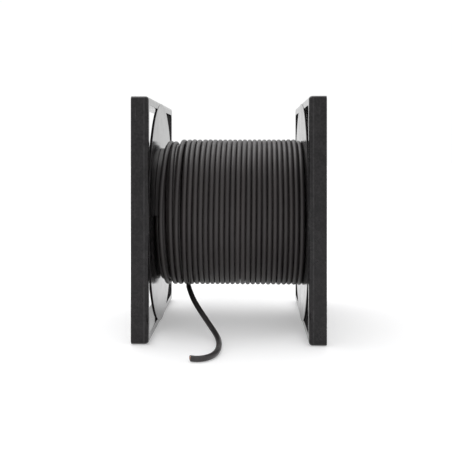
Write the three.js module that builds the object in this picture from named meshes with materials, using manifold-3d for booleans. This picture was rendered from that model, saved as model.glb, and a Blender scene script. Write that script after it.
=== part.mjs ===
// Plastic drum with square flanges, wound with black microphone cable.
// Lengths are in millimetres and Z is up. The drum's axis runs along X, and the two flanges
// stand on the floor at Z = 0 with the loose end of the cable in front of them, towards -Y.
import * as THREE from 'three';
import { mergeVertices } from 'three/addons/utils/BufferGeometryUtils.js';
import Module from 'manifold-3d';

const wasm = await Module();
wasm.setup();

// Square flanges
const DRUM_WIDTH = 220; // over the outer faces of both flanges
const FLANGE_SIDE = 280;
const FRAME_DEPTH = 20; // of the square frame, along the drum's axis
const FRAME_WALL = 10;
const FRAME_CORNER_RADIUS = 5;
const FRAME_EDGE_ROUNDING = 4; // on the edge that faces the cable
const OPENING_CORNER_RADIUS = 6;
const DISC_THICKNESS = 3;
const DISC_PROUD = 0.5; // how far the disc stands out of the frame towards the cable
const DISC_OVERLAP = 8.5; // how far the disc reaches over the middle of each frame side
const HUB_RADIUS = 28;
const BORE_RADIUS = 19;
const TIE_COUNT = 4; // short ribs that join the disc to the middle of each frame side
const TIE_LENGTH = 22;
const TIE_WIDTH = 3;
const TIE_DEPTH = 6;
const WELD = 0.5; // how far a rib runs into what it joins

// Barrel
const BARREL_RADIUS = 40;
const BARREL_WALL = 4;
const SPIGOT_LENGTH = 12;

// Cable
const CABLE_DIAMETER = 6.4;
const LAYER_COUNT = 9;
const LAYER_SINK = 0.66; // how far a layer sinks between the turns below it
const GROOVE_DEPTH = 2.5; // between two turns
const CREST_SHARE = 0.4; // flat top of a turn, as a share of the pitch
const TAIL_SIDES = 10;
const TAIL_STEPS = 26;

const CLEARANCE = 0.3; // between pieces that touch
const ROUND_SEGMENTS = 72;
const WINDING_SEGMENTS = 36;
const ROUNDING_SEGMENTS = 3;
const CORNER_SEGMENTS = 4;
const MERGE_DISTANCE = 1e-4;
const OVERCUT = 5; // how far a cutting tool runs past what it cuts

// Places along the drum's axis, measured out from its middle
const OUTER_FACE = DRUM_WIDTH / 2;
const FRAME_INNER_FACE = OUTER_FACE - FRAME_DEPTH;
const DISC_INNER_FACE = FRAME_INNER_FACE - DISC_PROUD;
const DISC_OUTER_FACE = DISC_INNER_FACE + DISC_THICKNESS;
const WOUND_HALF_WIDTH = DISC_INNER_FACE - CLEARANCE;

// Radii
const OPENING_HALF_SIDE = FLANGE_SIDE / 2 - FRAME_WALL;
const DISC_RADIUS = OPENING_HALF_SIDE + DISC_OVERLAP;
const BARREL_BORE_RADIUS = BARREL_RADIUS - BARREL_WALL;
const SPIGOT_RADIUS = BARREL_BORE_RADIUS - CLEARANCE;
const WINDING_BORE_RADIUS = (BARREL_RADIUS + CLEARANCE) / Math.cos(Math.PI / WINDING_SEGMENTS);
const LAYER_RISE = CABLE_DIAMETER - LAYER_SINK;
const WINDING_RADIUS = WINDING_BORE_RADIUS + CABLE_DIAMETER + (LAYER_COUNT - 1) * LAYER_RISE;

// Centre line of the loose end, from the winding down to the floor and round to the cut
const TAIL_ROUTE = [
  [-54.8, -4, 43.8],
  [-52.9, -18, 43.1],
  [-50.3, -32, 41.0],
  [-46.9, -46, 37.4],
  [-42.2, -60, 32.6],
  [-36.2, -74, 26.8],
  [-29.2, -88, 20.4],
  [-22.2, -102, 14.0],
  [-16.2, -115, 8.9],
  [-12.3, -128, 5.5],
  [-10.6, -141, 3.8],
  [-10.1, -154, 3.3],
  [-10.3, -167, 3.25],
  [-11.2, -179, 3.25],
  [-13.4, -191, 3.25],
  [-17.6, -202, 3.25],
  [-24.0, -209.6, 3.25],
  [-31.0, -212.0, 3.25],
  [-37.4, -210.4, 3.25],
];

// A closed solid from a three.js geometry, for joining and cutting
function solidOf(geometry) {
  const bare = geometry.clone();
  bare.deleteAttribute('normal');
  bare.deleteAttribute('uv');
  const merged = mergeVertices(bare, MERGE_DISTANCE);
  return new wasm.Manifold(new wasm.Mesh({
    numProp: 3,
    vertProperties: new Float32Array(merged.attributes.position.array),
    triVerts: new Uint32Array(merged.index.array),
  }));
}

// A three.js geometry from a joined or cut solid
function geometryOf(solid) {
  const mesh = solid.getMesh();
  const geometry = new THREE.BufferGeometry();
  geometry.setAttribute('position', new THREE.BufferAttribute(mesh.vertProperties, 3));
  geometry.setIndex(new THREE.BufferAttribute(mesh.triVerts, 1));
  geometry.computeVertexNormals();
  return geometry;
}

// A square with round corners, centred on the axis
function roundedSquare(halfSide, radius) {
  const flat = halfSide - radius;
  const shape = new THREE.Shape();
  shape.moveTo(halfSide, -flat);
  shape.lineTo(halfSide, flat);
  shape.absarc(flat, flat, radius, 0, Math.PI / 2);
  shape.lineTo(-flat, halfSide);
  shape.absarc(-flat, flat, radius, Math.PI / 2, Math.PI);
  shape.lineTo(-halfSide, -flat);
  shape.absarc(-flat, -flat, radius, Math.PI, Math.PI * 1.5);
  shape.lineTo(flat, -halfSide);
  shape.absarc(flat, -flat, radius, Math.PI * 1.5, Math.PI * 2);
  return shape;
}

// A closed profile of [radius, place along the axis] turned round the local Z axis
function turned(profile, segments) {
  const points = profile.map(([radius, along]) => new THREE.Vector2(radius, along));
  points.push(points[0].clone());
  return new THREE.LatheGeometry(points, segments).rotateX(Math.PI / 2);
}

// The square frame, with its edge rounded on the side of the cable and flat outside
function frameSolid() {
  const outline = roundedSquare(FLANGE_SIDE / 2, FRAME_CORNER_RADIUS);
  const straightDepth = FRAME_DEPTH - FRAME_EDGE_ROUNDING + OVERCUT;
  const block = new THREE.ExtrudeGeometry(outline, {
    depth: straightDepth,
    bevelThickness: FRAME_EDGE_ROUNDING,
    bevelSize: FRAME_EDGE_ROUNDING,
    bevelOffset: -FRAME_EDGE_ROUNDING,
    bevelSegments: ROUNDING_SEGMENTS,
    curveSegments: CORNER_SEGMENTS,
  });
  block.translate(0, 0, FRAME_INNER_FACE + FRAME_EDGE_ROUNDING);
  const beyondDepth = FRAME_EDGE_ROUNDING + 2 * OVERCUT;
  const beyondSide = FLANGE_SIDE + 2 * OVERCUT;
  const beyond = new THREE.BoxGeometry(beyondSide, beyondSide, beyondDepth);
  beyond.translate(0, 0, OUTER_FACE + beyondDepth / 2);
  const cavityDepth = FRAME_DEPTH + 2 * OVERCUT;
  const cavity = new THREE.ExtrudeGeometry(roundedSquare(OPENING_HALF_SIDE, OPENING_CORNER_RADIUS), {
    depth: cavityDepth,
    bevelEnabled: false,
    curveSegments: CORNER_SEGMENTS,
  });
  cavity.translate(0, 0, FRAME_INNER_FACE - OVERCUT);
  return solidOf(block).subtract(solidOf(beyond)).subtract(solidOf(cavity));
}

// The disc with its bore, its hub outside, and the spigot inside that holds the barrel
function discSolid() {
  return solidOf(turned([
    [BORE_RADIUS, DISC_INNER_FACE - SPIGOT_LENGTH],
    [SPIGOT_RADIUS, DISC_INNER_FACE - SPIGOT_LENGTH],
    [SPIGOT_RADIUS, DISC_INNER_FACE],
    [DISC_RADIUS, DISC_INNER_FACE],
    [DISC_RADIUS, DISC_OUTER_FACE],
    [HUB_RADIUS, DISC_OUTER_FACE],
    [HUB_RADIUS, OUTER_FACE],
    [BORE_RADIUS, OUTER_FACE],
  ], ROUND_SEGMENTS));
}

// A short rib on the outer side of the disc that ends in a side of the frame
function tieSolid(angle) {
  const tie = new THREE.BoxGeometry(TIE_LENGTH + WELD, TIE_WIDTH, TIE_DEPTH + WELD);
  const middle = OPENING_HALF_SIDE + (WELD - TIE_LENGTH) / 2;
  tie.translate(middle, 0, DISC_OUTER_FACE + (TIE_DEPTH - WELD) / 2);
  tie.rotateZ(angle);
  return solidOf(tie);
}

function flangeGeometry() {
  let flange = frameSolid().add(discSolid());
  for (let i = 0; i < TIE_COUNT; i += 1) {
    flange = flange.add(tieSolid(2 * Math.PI * i / TIE_COUNT));
  }
  return geometryOf(flange);
}

function barrelGeometry() {
  return turned([
    [BARREL_BORE_RADIUS, -WOUND_HALF_WIDTH],
    [BARREL_RADIUS, -WOUND_HALF_WIDTH],
    [BARREL_RADIUS, WOUND_HALF_WIDTH],
    [BARREL_BORE_RADIUS, WOUND_HALF_WIDTH],
  ], ROUND_SEGMENTS);
}

// The wound cable as one turned solid: a ridge for each turn outside and for each layer on its ends
function windingGeometry() {
  const turns = Math.floor(2 * WOUND_HALF_WIDTH / CABLE_DIAMETER);
  const pitch = 2 * WOUND_HALF_WIDTH / turns;
  const end = [];
  for (let layer = 0; layer < LAYER_COUNT; layer += 1) {
    const bottom = WINDING_BORE_RADIUS + layer * LAYER_RISE;
    end.push([bottom, WOUND_HALF_WIDTH - GROOVE_DEPTH]);
    end.push([bottom + CABLE_DIAMETER / 2, WOUND_HALF_WIDTH]);
  }
  const profile = end.map(([radius, along]) => [radius, -along]);
  for (let turn = 0; turn < turns; turn += 1) {
    const start = turn * pitch - WOUND_HALF_WIDTH;
    if (turn > 0) {
      profile.push([WINDING_RADIUS - GROOVE_DEPTH, start]);
    }
    profile.push([WINDING_RADIUS, start + pitch * (1 - CREST_SHARE) / 2]);
    profile.push([WINDING_RADIUS, start + pitch * (1 + CREST_SHARE) / 2]);
  }
  profile.push(...end.reverse());
  return turned(profile, WINDING_SEGMENTS);
}

function tailGeometry() {
  const section = new THREE.Shape();
  for (let side = 0; side < TAIL_SIDES; side += 1) {
    const angle = 2 * Math.PI * side / TAIL_SIDES;
    const x = Math.cos(angle) * CABLE_DIAMETER / 2;
    const y = Math.sin(angle) * CABLE_DIAMETER / 2;
    if (side === 0) {
      section.moveTo(x, y);
    } else {
      section.lineTo(x, y);
    }
  }
  section.closePath();
  const route = new THREE.CatmullRomCurve3(TAIL_ROUTE.map((point) => new THREE.Vector3(...point)));
  return new THREE.ExtrudeGeometry(section, { extrudePath: route, steps: TAIL_STEPS });
}

function blackPlastic() {
  return new THREE.MeshStandardMaterial({ color: 0x2b2b2d, roughness: 0.4, metalness: 0 });
}

function cableJacket() {
  return new THREE.MeshStandardMaterial({ color: 0x343335, roughness: 0.55, metalness: 0 });
}

const group = new THREE.Group();

// The drum's own pieces are built along the local Z axis, which is then laid along X
const drum = new THREE.Group();
drum.position.z = FLANGE_SIDE / 2;
group.add(drum);

function addDrumPiece(name, geometry, material, turn) {
  const mesh = new THREE.Mesh(geometry, material);
  mesh.name = name;
  mesh.rotation.y = turn;
  drum.add(mesh);
}

addDrumPiece('flange_left', flangeGeometry(), blackPlastic(), -Math.PI / 2);
addDrumPiece('flange_right', flangeGeometry(), blackPlastic(), Math.PI / 2);
addDrumPiece('barrel', barrelGeometry(), blackPlastic(), Math.PI / 2);
addDrumPiece('cable_winding', windingGeometry(), cableJacket(), Math.PI / 2);

const tail = new THREE.Mesh(tailGeometry(), cableJacket());
tail.name = 'cable_tail';
group.add(tail);

export default group;
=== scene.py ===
"""Looks for a black plastic cable drum wound with microphone cable, its cut end on the floor."""

import math
import random

import bmesh
import bpy
from mathutils import Matrix, Vector


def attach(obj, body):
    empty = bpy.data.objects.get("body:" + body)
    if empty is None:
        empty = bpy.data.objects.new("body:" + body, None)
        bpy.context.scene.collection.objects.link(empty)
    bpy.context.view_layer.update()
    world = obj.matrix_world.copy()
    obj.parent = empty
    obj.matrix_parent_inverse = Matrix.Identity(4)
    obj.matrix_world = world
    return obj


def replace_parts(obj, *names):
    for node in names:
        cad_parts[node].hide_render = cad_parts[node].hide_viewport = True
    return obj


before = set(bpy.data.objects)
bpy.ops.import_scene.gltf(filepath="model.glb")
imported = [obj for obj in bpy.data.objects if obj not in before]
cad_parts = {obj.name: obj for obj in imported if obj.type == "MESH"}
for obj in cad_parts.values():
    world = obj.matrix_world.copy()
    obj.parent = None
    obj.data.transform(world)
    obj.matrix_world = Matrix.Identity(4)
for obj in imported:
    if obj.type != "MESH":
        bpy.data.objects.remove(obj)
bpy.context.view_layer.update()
scene = bpy.context.scene

# Lengths are in metres. "Along" is the distance along the drum's axis from its middle.

# The photograph's camera
CAMERA_PLACE = (0.02451, -1.05421, 0.21814)
CAMERA_TURN = math.radians(2.2595)
CAMERA_LENS = 65.02
CAMERA_SENSOR = 36
CAMERA_SHIFT = (0.01754, -0.1661)

# The drum
AXIS_HEIGHT = 0.14
HALF_SIDE = 0.14
OUTER_FACE = 0.11
FRAME_INNER_FACE = 0.09
FRAME_WALL = 0.01
FRAME_CORNER = 0.005
FRAME_ROUNDING = 0.004
OPENING_HALF_SIDE = HALF_SIDE - FRAME_WALL
OPENING_CORNER = 0.006
DISC_INNER_FACE = 0.0895
DISC_OUTER_FACE = 0.0925
DISC_RADIUS = 0.1385
HUB_RADIUS = 0.028
BORE_RADIUS = 0.019
SPIGOT_RADIUS = 0.0357
SPIGOT_END = 0.0775
TIE_COUNT = 4
TIE_START = 0.108
TIE_END = 0.1312  # inside the frame's wall
TIE_WIDTH = 0.003
TIE_FOOT = 0.0912  # inside the disc
TIE_TOP = 0.0985
SMALL_EDGE = 0.0005
HUB_EDGE = 0.001
HUB_FILLET = 0.0015
DISC_INNER_EDGE = 0.0004  # ends short of the frame's inner face, so that the two unite cleanly
SUPPORT = 0.0004  # from each rounding to the point that keeps the face beside it flat

# The cable
CABLE_RADIUS = 0.0032
TURN_RADIUS = 0.00315
PITCH = 0.00636
TOP_LAYER = 0.0899  # from the drum's axis to the middle of the cable
SECOND_LAYER = 0.0838
FIRST_TURN = 0.0861
TIGHT_TURNS = 20
SECOND_LAYER_TURNS = 27
CORE_LAYERS = 8
LAYER_RISE = 0.00574
CORE_BORE = 0.0405
CORE_RADIUS = 0.0815
CORE_HALF_WIDTH = 0.0892

# Places round the winding are counted in turns: a whole number is in front, a quarter less is at
# the top, and a quarter more is at the bottom.
TO_TOP = -0.25
TO_BOTTOM = 0.25
KNOTS_PER_TURN = 12
FIRST_KNOT = -2
KNOTS_LEFT_TO_LOOSE_TURNS = 8
SLANT_TURNS = 12  # over which the tight turns go from straight to slanted
SHIFT_START = 0.27  # a straight turn shifts to the next place on the back, out of sight
SHIFT_LENGTH = 0.28
SCATTER_ALONG = 4e-5
SCATTER_OUT = 1.2e-4

# Loose turns by the left flange: places along the axis at the top, in front and at the bottom,
# and how far each sinks at the top between the turns below it
LOOSE_TURNS = [
    (-0.0405, -0.0412, -0.0434, 0.0002),
    (-0.0470, -0.0480, -0.0501, -0.0002),
    (-0.0533, -0.0543, -0.0566, 0.0001),
    (-0.0606, -0.0634, -0.0641, 0.0000),
    (-0.0714, -0.0706, -0.0709, 0.0024),
    (-0.0776, -0.0819, -0.0796, 0.0018),
]
LAST_TURN = TIGHT_TURNS + len(LOOSE_TURNS) - 1

# The free end crosses the back from the first turn to the exit, on top of the layer:
# quarter turns before the front, place along the axis, and distance from the drum's axis
CROSSING = [
    (-3.027, -0.0548, 0.09628), (-2.91, -0.0563, 0.0961), (-2.78, -0.0572, 0.0960),
    (-2.61, -0.0550, 0.0960), (-2.39, -0.0440, 0.0960), (-2.11, -0.0200, 0.0960),
    (-1.90, 0.0080, 0.0960), (-1.72, 0.0350, 0.0960), (-1.58, 0.0560, 0.0956),
    (-1.46, 0.0720, 0.0946), (-1.34, 0.0825, 0.0925), (-1.22, 0.0858, 0.0903),
    (-1.10, 0.0861, 0.0895),
]

# Turns, and distance from the axis, where the first turn comes down from under the crossing
COMING_DOWN = [(-0.25, TOP_LAYER - 0.0022), (-0.1, TOP_LAYER - 0.001)]

# Turns after the last one's front, and places along or from the axis, where the last loose turn
# goes down to the second layer beside the left flange
GOING_ALONG = [(0.45, -0.0845), (0.6, -0.0860), (0.7, -0.0860)]
GOING_DOWN = [(0.4, TOP_LAYER - 0.0008), (0.7, SECOND_LAYER)]
LAST_BIT = 0.68

# Centre line of the loose end, as in the part's source
TAIL_ROUTE = [
    (-0.0548, -0.0040, 0.0438), (-0.0529, -0.0180, 0.0431), (-0.0503, -0.0320, 0.0410),
    (-0.0469, -0.0460, 0.0374), (-0.0422, -0.0600, 0.0326), (-0.0362, -0.0740, 0.0268),
    (-0.0292, -0.0880, 0.0204), (-0.0222, -0.1020, 0.0140), (-0.0162, -0.1150, 0.0089),
    (-0.0123, -0.1280, 0.0055), (-0.0106, -0.1410, 0.0038), (-0.0101, -0.1540, 0.0033),
    (-0.0103, -0.1670, 0.00325), (-0.0112, -0.1790, 0.00325), (-0.0134, -0.1910, 0.00325),
    (-0.0176, -0.2020, 0.00325), (-0.0240, -0.2096, 0.00325), (-0.0310, -0.2120, 0.00325),
    (-0.0374, -0.2104, 0.00325),
]

# The slanted cut: a slightly rounded rim, the jacket's own thickness, and a shallow recess, as
# shares of the cable's radius and distances back from the cut
CUT_SLANT = 0.85
CUT_PROFILE = [
    (1, 0.00025), (0.985, 0.0001), (0.95, 0), (0.74, 0), (0.72, 0.0001), (0.72, 0.0006),
]
ROD_DEPTH = 0.0012
ROD_TIP = 0.00004
ROD_TIP_SHARE = 0.8
BRAID_WIRES = 26
BRAID_WIRE = 0.00017
BRAID_RADIUS = 0.00205
BRAID_STANDS = (-0.0001, 0.00005)  # how far the wires stand out of the cut, in turn
INSULATION_RADIUS = 0.00082
INSULATION_STAND = -0.00015
INSULATION_PLACE = 0.00088
STRANDS = 6
STRAND = 0.00016
STRAND_RADIUS = 0.00034
STRAND_STAND = 0.00005
MIDDLE_STRAND_STAND = 0.0001

# Angles, in degrees, from which an edge between two faces shows as sharp
SHARP_ON_DRUM = 35
SHARP_ON_CUT = 50
SHARP_ON_WINDING = 60

# Looks of the drum's plastic and of the cable's jacket
PLASTIC_DARK, PLASTIC_LIGHT = (0.0008, 0.0007, 0.0008), (0.0115, 0.0105, 0.011)
# The next colour lightens both the scuffs and the painted highlight line along the frame's edge
PLASTIC_SCUFF_AND_HIGHLIGHT = (0.045, 0.044, 0.045)
PLASTIC_ROUGHNESS = (0.09, 0.19)
PLASTIC_TINT = (0.62, 0.61, 0.62, 1)
JACKET_DARK, JACKET_LIGHT = (0.0195, 0.0170, 0.0173), (0.0325, 0.0286, 0.0286)
JACKET_DUSTY = (0.052, 0.049, 0.048)
JACKET_ROUGHNESS = (0.36, 0.5)
JACKET_TINT = (0.86, 0.84, 0.84, 1)
PLASTIC_IOR = 1.5
BUMP_HEIGHT = 0.00008
# The painted highlight line where the frame's outside meets its rounded edge: place along the
# axis, width and strength
EDGE_HIGHLIGHT_PLACE = 0.095
EDGE_HIGHLIGHT_WIDTH = 0.0012
EDGE_HIGHLIGHT_STRENGTH = 0.55
OUTSIDE_DEPTH = 0.0012

# Looks of what shows in the cut
COPPER_DARK, COPPER_LIGHT = (0.72, 0.36, 0.25), (0.86, 0.52, 0.40)
COPPER_ROUGHNESS = (0.28, 0.42)
INSULATION_DARK, INSULATION_LIGHT = (0.50, 0.30, 0.27), (0.62, 0.42, 0.38)
INSULATION_ROUGHNESS = (0.4, 0.55)

# Parts of a noise's range that are spread over a look
MIDDLE = (0.35, 0.65)
MOST = (0.3, 0.7)
FULL = (0, 1)

# Floor and light
FLOOR_LEVEL = -0.0003
FLOOR_HALF_SIZE = 12
FLOOR_DARK, FLOOR_LIGHT = (0.71, 0.71, 0.715), (0.74, 0.74, 0.745)
FLOOR_ROUGHNESS = 0.6
FLOOR_SPECULAR = 0.2
FLOOR_GLOW = 0.3
WHITE = (1, 1, 1, 1)
WORLD_STRENGTH = 1.02
SOFTBOX_PLACE = (-0.3, 0.35, 1.35)
SOFTBOX_TARGET = (0, 0, 0.1)
SOFTBOX_SIZE = (1.3, 0.9)
SOFTBOX_POWER = 7


def make_camera():
    data = bpy.data.cameras.new("camera")
    data.sensor_width = CAMERA_SENSOR
    data.lens = CAMERA_LENS
    data.shift_x, data.shift_y = CAMERA_SHIFT
    camera = bpy.data.objects.new("camera", data)
    camera.location = CAMERA_PLACE
    camera.rotation_euler = (math.pi / 2, 0, CAMERA_TURN)
    scene.collection.objects.link(camera)
    scene.camera = camera


# Meshes

def new_object(name, bm, materials, sharp=SHARP_ON_DRUM):
    bmesh.ops.recalc_face_normals(bm, faces=bm.faces)
    mesh = bpy.data.meshes.new(name)
    bm.to_mesh(mesh)
    bm.free()
    for material in materials:
        mesh.materials.append(material)
    mesh.shade_smooth()
    mesh.set_sharp_from_angle(angle=math.radians(sharp))
    obj = bpy.data.objects.new(name, mesh)
    scene.collection.objects.link(obj)
    return obj


def loft(bm, rings, closed=False, material=0):
    """Quads between rings of points. An open loft is capped at both ends."""
    rows = [[bm.verts.new(p) for p in ring] for ring in rings]
    count = len(rows[0])
    pairs = list(zip(rows, rows[1:]))
    if closed:
        pairs.append((rows[-1], rows[0]))
    faces = []
    for a, b in pairs:
        for i in range(count):
            j = (i + 1) % count
            faces.append(bm.faces.new((a[i], a[j], b[j], b[i])))
    if not closed:
        faces.append(bm.faces.new(rows[0]))
        faces.append(bm.faces.new(rows[-1]))
    for face in faces:
        face.material_index = material


def circle(count, start=0):
    """Angles round a whole circle. The start is a share of one step."""
    return [2 * math.pi * (k + start) / count for k in range(count)]


def rounded_profile(corners, steps=5):
    """Points round a closed profile with corners of (across, along, radius).

    Each arc has a support point on both sides."""
    points = []
    for i, (a, b, radius) in enumerate(corners):
        corner = Vector((a, b))
        back = (Vector(corners[i - 1][:2]) - corner).normalized()
        ahead = (Vector(corners[(i + 1) % len(corners)][:2]) - corner).normalized()
        centre = corner + (back + ahead) * radius
        points.append(corner + back * (radius + SUPPORT))
        for k in range(steps + 1):
            t = math.pi / 2 * k / steps
            points.append(centre - ahead * radius * math.cos(t) - back * radius * math.sin(t))
        points.append(corner + ahead * (radius + SUPPORT))
    return points


def rounded_square(half_side, radius, steps=6):
    points = []
    for corner in range(4):
        turn = corner * math.pi / 2
        flat = half_side - radius
        centre = Matrix.Rotation(turn, 2) @ Vector((flat, flat))
        for k in range(steps + 1):
            t = turn + math.pi / 2 * k / steps
            points.append((centre.x + radius * math.cos(t), centre.y + radius * math.sin(t)))
    return points


def on_drum(side, along, across, up):
    return Vector((side * along, across, AXIS_HEIGHT + up))


# Flanges

def frame_corner_radius(half_side):
    """The frame's corners, from the opening's radius inside to the outline's radius outside."""
    rounding_start = HALF_SIDE - FRAME_ROUNDING
    smallest = FRAME_CORNER - FRAME_ROUNDING
    if half_side >= rounding_start:
        return smallest + half_side - rounding_start
    share = (half_side - OPENING_HALF_SIDE) / (rounding_start - OPENING_HALF_SIDE)
    return OPENING_CORNER + (smallest - OPENING_CORNER) * share


def frame_part(side, material):
    profile = rounded_profile([
        (HALF_SIDE, OUTER_FACE, SMALL_EDGE),
        (HALF_SIDE, FRAME_INNER_FACE, FRAME_ROUNDING),
        (OPENING_HALF_SIDE, FRAME_INNER_FACE, SMALL_EDGE),
        (OPENING_HALF_SIDE, OUTER_FACE, SMALL_EDGE),
    ])
    rings = []
    for half_side, along in profile:
        square = rounded_square(half_side, frame_corner_radius(half_side))
        rings.append([on_drum(side, along, a, b) for a, b in square])
    bm = bmesh.new()
    loft(bm, rings, closed=True)
    return new_object("frame_part", bm, [material])


def disc_part(side, material, segments=160):
    """The disc, with the hub on its outside and the spigot that holds the barrel on its inside."""
    profile = rounded_profile([
        (BORE_RADIUS, SPIGOT_END, SMALL_EDGE),
        (SPIGOT_RADIUS, SPIGOT_END, SMALL_EDGE),
        (SPIGOT_RADIUS, DISC_INNER_FACE, SMALL_EDGE),
        (DISC_RADIUS, DISC_INNER_FACE, DISC_INNER_EDGE),
        (DISC_RADIUS, DISC_OUTER_FACE, SMALL_EDGE),
        (HUB_RADIUS, DISC_OUTER_FACE, HUB_FILLET),
        (HUB_RADIUS, OUTER_FACE, HUB_EDGE),
        (BORE_RADIUS, OUTER_FACE, HUB_EDGE),
    ], steps=4)
    rings = []
    for radius, along in profile:
        rings.append([
            on_drum(side, along, radius * math.cos(t), radius * math.sin(t))
            for t in circle(segments, start=0.5)
        ])
    bm = bmesh.new()
    loft(bm, rings, closed=True)
    return new_object("disc_part", bm, [material])


def tie_part(side, quarter, material):
    """A short rib from the disc's outer side into the middle of one side of the frame."""
    bm = bmesh.new()
    bmesh.ops.create_cube(bm, size=1)
    for vert in bm.verts:
        along = TIE_FOOT if vert.co.z < 0 else TIE_TOP
        across = TIE_START if vert.co.x < 0 else TIE_END
        up = TIE_WIDTH * vert.co.y
        turned = Matrix.Rotation(quarter * math.pi / 2, 2) @ Vector((across, up))
        vert.co = on_drum(side, along, turned.x, turned.y)
    bmesh.ops.bevel(bm, geom=bm.edges[:], offset=SMALL_EDGE, segments=2, affect="EDGES")
    return new_object("tie_part", bm, [material])


def unite(base, others):
    """One closed solid from overlapping ones."""
    for other in others:
        union = base.modifiers.new("union", "BOOLEAN")
        union.operation = "UNION"
        union.solver = "EXACT"
        union.object = other
    bpy.context.view_layer.update()
    depsgraph = bpy.context.evaluated_depsgraph_get()
    mesh = bpy.data.meshes.new_from_object(base.evaluated_get(depsgraph))
    base.modifiers.clear()
    base.data = mesh
    mesh.set_sharp_from_angle(angle=math.radians(SHARP_ON_DRUM))
    for other in others:
        bpy.data.objects.remove(other)


def make_flange(name, side, material):
    flange = frame_part(side, material)
    ties = [tie_part(side, quarter, material) for quarter in range(TIE_COUNT)]
    unite(flange, [disc_part(side, material), *ties])
    flange.name = name
    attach(flange, "root")
    return flange


# Cable on the drum

def tube_rings(points, radius, sides, normals=None):
    """Rings round a line of points.

    Without normals, each ring is turned as little as possible from the last."""
    rings = []
    normal = Vector((0, 0, 1))
    for i, point in enumerate(points):
        ahead = points[min(i + 1, len(points) - 1)] - points[max(i - 1, 0)]
        ahead.normalize()
        if normals:
            normal = normals[i]
        normal = (normal - ahead * normal.dot(ahead)).normalized()
        other = ahead.cross(normal)
        rings.append([
            point + (normal * math.cos(t) + other * math.sin(t)) * radius for t in circle(sides)
        ])
    return rings


def smooth_step(value):
    value = min(max(value, 0), 1)
    return value * value * (3 - 2 * value)


def through_knots(knots, at):
    """A smooth curve through knots of (place, value), read at one place."""
    last = len(knots) - 1
    i = 0
    while i < last - 1 and knots[i + 1][0] < at:
        i += 1

    def slope(k):
        a, b = knots[max(k - 1, 0)], knots[min(k + 1, last)]
        return (b[1] - a[1]) / (b[0] - a[0])

    span = knots[i + 1][0] - knots[i][0]
    t = min(max((at - knots[i][0]) / span, 0), 1)
    start, end = knots[i][1], knots[i + 1][1]
    return (
        start * (1 + 2 * t) * (1 - t) ** 2
        + end * t * t * (3 - 2 * t)
        + slope(i) * span * t * (1 - t) ** 2
        - slope(i + 1) * span * t * t * (1 - t)
    )


def tight_place(turns):
    """Where a tight turn lies along the axis, straight by the flange and slanted further on."""
    slanted = FIRST_TURN - PITCH * turns
    whole = math.floor(turns - TO_TOP)
    shift = smooth_step((turns - whole - SHIFT_START) / SHIFT_LENGTH)
    straight = FIRST_TURN - PITCH * (whole + shift)
    slant = smooth_step(turns / SLANT_TURNS)
    return straight * (1 - slant) + slanted * slant


def on_winding(turns, along, radius):
    """A point on the winding, and the direction out from the drum's axis there."""
    angle = 2 * math.pi * turns
    out = Vector((0, -math.cos(angle), -math.sin(angle)))
    return Vector((along, 0, AXIS_HEIGHT)) + out * radius, out


def add_wound_cable(bm, places, radii, start, end, steps_per_turn, sides):
    points, normals = [], []
    steps = round((end - start) * steps_per_turn)
    for k in range(steps + 1):
        turns = start + (end - start) * k / steps
        point, out = on_winding(turns, through_knots(places, turns), through_knots(radii, turns))
        points.append(point)
        normals.append(out)
    loft(bm, tube_rings(points, TURN_RADIUS, sides, normals))


def add_top_layer(bm):
    """One cable: the crossing on the back, the tight turns, and the loose ones by the left."""
    chance = random.Random(5)
    places = [(quarters / 4, along) for quarters, along, _ in CROSSING]
    radii = [(quarters / 4, radius) for quarters, _, radius in CROSSING]
    for k in range(FIRST_KNOT, TIGHT_TURNS * KNOTS_PER_TURN - KNOTS_LEFT_TO_LOOSE_TURNS):
        turns = k / KNOTS_PER_TURN
        places.append((turns, tight_place(turns) + chance.uniform(-SCATTER_ALONG, SCATTER_ALONG)))
    radii += COMING_DOWN
    for k in range(TIGHT_TURNS * 4):
        radii.append((k / 4, TOP_LAYER + chance.uniform(-SCATTER_OUT, SCATTER_OUT)))
    for i, (top, front, bottom, sunk) in enumerate(LOOSE_TURNS):
        turns = TIGHT_TURNS + i
        at_top, at_bottom = turns + TO_TOP, turns + TO_BOTTOM
        places += [(at_top, top), (turns, front), (at_bottom, bottom)]
        radii += [
            (at_top, TOP_LAYER - sunk), (turns, TOP_LAYER - sunk / 2), (at_bottom, TOP_LAYER),
        ]
    places += [(LAST_TURN + turns, along) for turns, along in GOING_ALONG]
    radii += [(LAST_TURN + turns, radius) for turns, radius in GOING_DOWN]
    start, end = CROSSING[0][0] / 4, LAST_TURN + LAST_BIT
    add_wound_cable(bm, places, radii, start, end, steps_per_turn=76, sides=14)


def add_second_layer(bm):
    """Even turns from flange to flange, which show only between the loose turns above them."""
    turns = SECOND_LAYER_TURNS
    places = [(k, (2 * k / turns - 1) * FIRST_TURN) for k in range(turns + 1)]
    radii = [(0, SECOND_LAYER), (turns, SECOND_LAYER)]
    add_wound_cable(bm, places, radii, 0, turns, steps_per_turn=60, sides=8)


def add_core(bm, segments=96, ridge_steps=7):
    """The lower layers as one turned body with its bore, and a ridge for each on its ends."""
    end = []
    for layer in range(CORE_LAYERS):
        bottom = CORE_BORE + layer * LAYER_RISE
        for k in range(ridge_steps):
            t = math.pi * (k + 0.5) / ridge_steps
            radius = min(bottom + LAYER_RISE / 2 * (1 - math.cos(t)), CORE_RADIUS)
            end.append((radius, CORE_HALF_WIDTH - TURN_RADIUS * (1 - math.sin(t))))
    profile = end + [(radius, -along) for radius, along in reversed(end)]
    rings = []
    for radius, along in profile:
        rings.append([on_winding(k / segments, along, radius)[0] for k in range(segments)])
    loft(bm, rings, closed=True)


def make_winding(material):
    bm = bmesh.new()
    add_core(bm)
    add_second_layer(bm)
    add_top_layer(bm)
    winding = new_object("winding_turns", bm, [material], sharp=SHARP_ON_WINDING)
    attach(winding, "root")
    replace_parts(winding, "cable_winding")


# The cable's loose end

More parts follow.
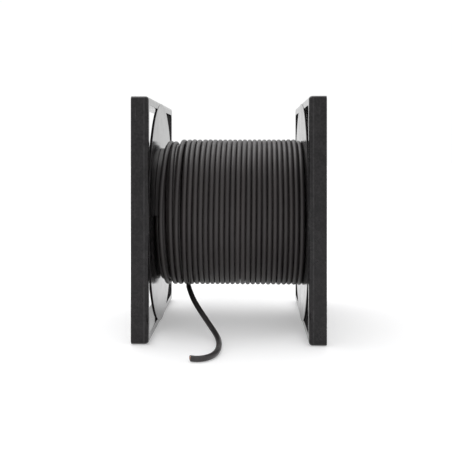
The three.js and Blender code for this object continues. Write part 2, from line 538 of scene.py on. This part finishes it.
def curve_through(points, steps=8):
    """A Catmull-Rom curve through the points."""
    ends = [points[0] * 2 - points[1], *points, points[-1] * 2 - points[-2]]
    found = []
    for a, b, c, d in zip(ends, ends[1:], ends[2:], ends[3:]):
        for k in range(steps):
            t = k / steps
            found.append(0.5 * (
                2 * b + (c - a) * t + (2 * a - 5 * b + 4 * c - d) * t ** 2
                + (3 * b - a - 3 * c + d) * t ** 3
            ))
    found.append(points[-1])
    return found


def slant_of_cut(ahead):
    """The cut is shorter on the side of the camera, so that its face shows as in the photo."""
    side = Vector((0, 0, 1)).cross(ahead).normalized()
    if side.y < 0:
        side = -side
    return side * CUT_SLANT


def make_tail(jacket, copper, insulation):
    path = curve_through([Vector(p) for p in TAIL_ROUTE])
    rings = tube_rings(path, CABLE_RADIUS, sides=20)
    last, centre = rings.pop(), path[-1]
    ahead = (path[-1] - path[-2]).normalized()
    slant = slant_of_cut(ahead)
    for share, back in CUT_PROFILE:
        ring = []
        for p in last:
            offset = (p - centre) * share
            ring.append(centre + offset + ahead * (offset.dot(slant) - back))
        rings.append(ring)
    bm = bmesh.new()
    loft(bm, rings)
    tail = new_object("loose_end", bm, [jacket], sharp=SHARP_ON_CUT)
    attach(tail, "root")
    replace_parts(tail, "cable_tail")
    cut = make_cut_end(centre, ahead, slant, copper, insulation)


def make_cut_end(centre, ahead, slant, copper, insulation):
    """What shows inside the cut: the braid's wires, two insulated cores, and their strands."""
    side = ahead.cross(Vector((0, 0, 1))).normalized()
    up = side.cross(ahead)
    bm = bmesh.new()

    def rod(across, rise, radius, stand, sides=8, material=0):
        rings = []
        for share, along in ((1, -ROD_DEPTH), (1, stand - ROD_TIP), (ROD_TIP_SHARE, stand)):
            ring = []
            for t in circle(sides):
                to_side = across + radius * share * math.cos(t)
                to_top = rise + radius * share * math.sin(t)
                offset = side * to_side + up * to_top
                ring.append(centre + offset + ahead * (along + offset.dot(slant)))
            rings.append(ring)
        loft(bm, rings, material=material)

    for k, t in enumerate(circle(BRAID_WIRES)):
        across, rise = BRAID_RADIUS * math.cos(t), BRAID_RADIUS * math.sin(t)
        rod(across, rise, BRAID_WIRE, BRAID_STANDS[k % 2])
    for middle in (-INSULATION_PLACE, INSULATION_PLACE):
        rod(middle, 0, INSULATION_RADIUS, INSULATION_STAND, sides=20, material=1)
        rod(middle, 0, STRAND, MIDDLE_STRAND_STAND)
        for t in circle(STRANDS):
            across, rise = middle + STRAND_RADIUS * math.cos(t), STRAND_RADIUS * math.sin(t)
            rod(across, rise, STRAND, STRAND_STAND)
    cut = new_object("loose_end_wires", bm, [copper, insulation], sharp=SHARP_ON_CUT)
    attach(cut, "root")
    return cut


# Materials

class Nodes:
    """A material and its nodes, made and linked by short calls."""

    def __init__(self, name):
        self.material = bpy.data.materials.new(name)
        self.material.use_nodes = True
        self.tree = self.material.node_tree
        self.shader = self.tree.nodes["Principled BSDF"]
        self.place = self.node("ShaderNodeTexCoord").outputs["Object"]

    def node(self, kind, **values):
        made = self.tree.nodes.new(kind)
        for key, value in values.items():
            setattr(made, key, value)
        return made

    def link(self, output, node, socket):
        self.tree.links.new(output, node.inputs[socket])

    def give(self, socket, output):
        """Links an output to the shader."""
        self.link(output, self.shader, socket)

    def set(self, socket, value):
        """Sets a value on the shader."""
        self.shader.inputs[socket].default_value = value

    def noise(self, scale, detail=4, roughness=0.55, stretch=(1, 1, 1), lean=0):
        mapping = self.node("ShaderNodeMapping")
        mapping.inputs["Scale"].default_value = stretch
        mapping.inputs["Rotation"].default_value = (lean, 0, 0)
        self.link(self.place, mapping, "Vector")
        noise = self.node("ShaderNodeTexNoise")
        noise.inputs["Scale"].default_value = scale
        noise.inputs["Detail"].default_value = detail
        noise.inputs["Roughness"].default_value = roughness
        self.link(mapping.outputs[0], noise, "Vector")
        return noise.outputs["Fac"]

    def span(self, value, source, target):
        """Spreads one range of a value over another."""
        node = self.node("ShaderNodeMapRange")
        keys = ("From Min", "From Max", "To Min", "To Max")
        for key, number in zip(keys, (*source, *target)):
            node.inputs[key].default_value = number
        self.link(value, node, "Value")
        return node.outputs["Result"]

    def math(self, operation, a, b=0):
        node = self.node("ShaderNodeMath", operation=operation)
        for i, value in enumerate((a, b)):
            if isinstance(value, (int, float)):
                node.inputs[i].default_value = value
            else:
                self.link(value, node, i)
        return node.outputs[0]

    def mix(self, share, a, b):
        """Mixes two colours. The sockets 6 and 7 are those for colours."""
        node = self.node("ShaderNodeMix", data_type="RGBA")
        self.link(share, node, 0)
        for i, value in ((6, a), (7, b)):
            if isinstance(value, tuple):
                node.inputs[i].default_value = (*value, 1)
            else:
                self.link(value, node, i)
        return node.outputs[2]

    def bump(self, height, strength):
        node = self.node("ShaderNodeBump")
        node.inputs["Strength"].default_value = strength
        node.inputs["Distance"].default_value = BUMP_HEIGHT
        self.link(height, node, "Height")
        return node.outputs["Normal"]


def painted_edge_highlight(made):
    """A painted highlight line, from 0 to 1, where the frame's outside runs into its rounded edge.
    """
    parts = made.node("ShaderNodeSeparateXYZ")
    made.link(made.place, parts, 0)
    along = made.math("ABSOLUTE", parts.outputs["X"])
    from_line = made.math("ABSOLUTE", made.math("SUBTRACT", along, EDGE_HIGHLIGHT_PLACE))
    line = made.span(from_line, (0, EDGE_HIGHLIGHT_WIDTH), (EDGE_HIGHLIGHT_STRENGTH, 0))
    across = made.math("ABSOLUTE", parts.outputs["Y"])
    up = made.math("ABSOLUTE", made.math("SUBTRACT", parts.outputs["Z"], AXIS_HEIGHT))
    skin = (HALF_SIDE - OUTSIDE_DEPTH, HALF_SIDE - OUTSIDE_DEPTH / 2)
    outside = made.span(made.math("MAXIMUM", across, up), skin, FULL)
    broken = made.span(made.noise(160), (0.38, 0.55), (0.35, 1))
    return made.math("MULTIPLY", made.math("MULTIPLY", line, outside), broken)


def plastic_material():
    """Black moulded plastic: fine mottled grain, rubbed patches, thin scuffs and a painted
    highlight line along the frame's edge.
    """
    made = Nodes("moulded_plastic")
    grain = made.noise(1400, detail=3)
    patches = made.noise(38, detail=6, roughness=0.65)
    mottle = made.noise(420)
    clouds = made.noise(110, detail=5)
    lines_up = made.noise(52, stretch=(9, 9, 0.5), detail=3, lean=0.22)
    lines_across = made.noise(31, stretch=(9, 0.6, 12), detail=3, lean=-0.35)

    scuffs_up = made.span(lines_up, (0.66, 0.72), FULL)
    scuffs_across = made.span(lines_across, (0.68, 0.74), FULL)
    scuffs = made.math("MAXIMUM", scuffs_up, scuffs_across)
    worn = made.math("MULTIPLY", scuffs, made.span(patches, (0.42, 0.68), (0, 0.5)))
    cloudy = made.math(
        "ADD", made.math("MULTIPLY", mottle, 0.6), made.math("MULTIPLY", clouds, 0.4),
    )
    base = made.mix(made.span(cloudy, (0.4, 0.6), FULL), PLASTIC_DARK, PLASTIC_LIGHT)
    # The scuffs are wear, and the line along the frame's edge is a painted highlight; both lighten
    # the base colour
    base = made.mix(made.math("MAXIMUM", worn, painted_edge_highlight(made)), base, PLASTIC_SCUFF_AND_HIGHLIGHT)
    made.give("Base Color", base)
    smooth_or_not = made.span(patches, MOST, PLASTIC_ROUGHNESS)
    made.give("Roughness", made.math("ADD", smooth_or_not, made.math("MULTIPLY", worn, 0.15)))
    skin = made.math("ADD", grain, made.math("MULTIPLY", mottle, 0.8))
    made.give("Normal", made.bump(made.math("SUBTRACT", skin, worn), strength=0.08))
    made.set("IOR", PLASTIC_IOR)
    made.set("Specular Tint", PLASTIC_TINT)
    return made.material


def jacket_material():
    """Satin black cable jacket, a little lighter or darker by stretches, with some dust."""
    made = Nodes("jacket")
    by_turn = made.noise(150, detail=2, stretch=(1.05, 0.05, 0.05))
    skin = made.noise(1100, detail=3)
    dust = made.noise(90, detail=5, roughness=0.7)

    base = made.mix(made.span(by_turn, MIDDLE, FULL), JACKET_DARK, JACKET_LIGHT)
    base = made.mix(made.span(dust, (0.55, 0.78), (0, 0.35)), base, JACKET_DUSTY)
    made.give("Base Color", base)
    dull = made.span(dust, (0.35, 0.7), JACKET_ROUGHNESS)
    made.give("Roughness", made.math("ADD", dull, made.span(skin, MOST, (-0.03, 0.03))))
    made.give("Normal", made.bump(skin, strength=0.3))
    made.set("IOR", PLASTIC_IOR)
    made.set("Specular Tint", JACKET_TINT)
    return made.material


def copper_material():
    """Bare copper wire, with a tone and gloss that vary a little."""
    made = Nodes("copper_wire")
    tone = made.noise(2500, detail=3)
    made.give("Base Color", made.mix(made.span(tone, MIDDLE, FULL), COPPER_DARK, COPPER_LIGHT))
    made.give("Roughness", made.span(tone, MOST, COPPER_ROUGHNESS))
    made.set("Metallic", 1)
    return made.material


def insulation_material():
    """The soft plastic round each core, seen only in the cut."""
    made = Nodes("core_insulation")
    tone = made.noise(1800)
    base = made.mix(made.span(tone, MIDDLE, FULL), INSULATION_DARK, INSULATION_LIGHT)
    made.give("Base Color", base)
    made.give("Roughness", made.span(tone, MOST, INSULATION_ROUGHNESS))
    return made.material


def floor_material():
    """A white table lit a little from below, as a studio's is."""
    made = Nodes("studio_floor")
    tone = made.noise(3, detail=2)
    made.give("Base Color", made.mix(made.span(tone, MOST, FULL), FLOOR_DARK, FLOOR_LIGHT))
    made.set("Roughness", FLOOR_ROUGHNESS)
    made.set("Specular IOR Level", FLOOR_SPECULAR)
    made.set("Emission Color", WHITE)
    made.set("Emission Strength", FLOOR_GLOW)
    return made.material


# Floor and light

def make_floor():
    bm = bmesh.new()
    bmesh.ops.create_grid(bm, x_segments=1, y_segments=1, size=FLOOR_HALF_SIZE)
    for vert in bm.verts:
        vert.co.z = FLOOR_LEVEL
    floor = new_object("floor", bm, [floor_material()])


def make_light():
    """An even white studio, and one softbox overhead that puts the shadow on the right."""
    world = bpy.data.worlds.new("studio")
    world.use_nodes = True
    background = world.node_tree.nodes["Background"]
    background.inputs["Color"].default_value = WHITE
    background.inputs["Strength"].default_value = WORLD_STRENGTH
    scene.world = world
    scene.view_settings.view_transform = "Standard"

    data = bpy.data.lights.new("overhead", "AREA")
    data.shape = "RECTANGLE"
    data.size, data.size_y = SOFTBOX_SIZE
    data.energy = SOFTBOX_POWER
    light = bpy.data.objects.new("overhead", data)
    light.location = SOFTBOX_PLACE
    to_target = Vector(SOFTBOX_TARGET) - Vector(SOFTBOX_PLACE)
    light.rotation_euler = to_target.to_track_quat("-Z", "Y").to_euler()
    scene.collection.objects.link(light)


make_camera()
plastic = plastic_material()
jacket = jacket_material()
make_tail(jacket, copper_material(), insulation_material())
make_winding(jacket)
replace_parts(make_flange("drum_flange_left", -1, plastic), "flange_left")
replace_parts(make_flange("drum_flange_right", 1, plastic), "flange_right")
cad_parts["barrel"].material_slots[0].material = plastic
make_floor()
make_light()
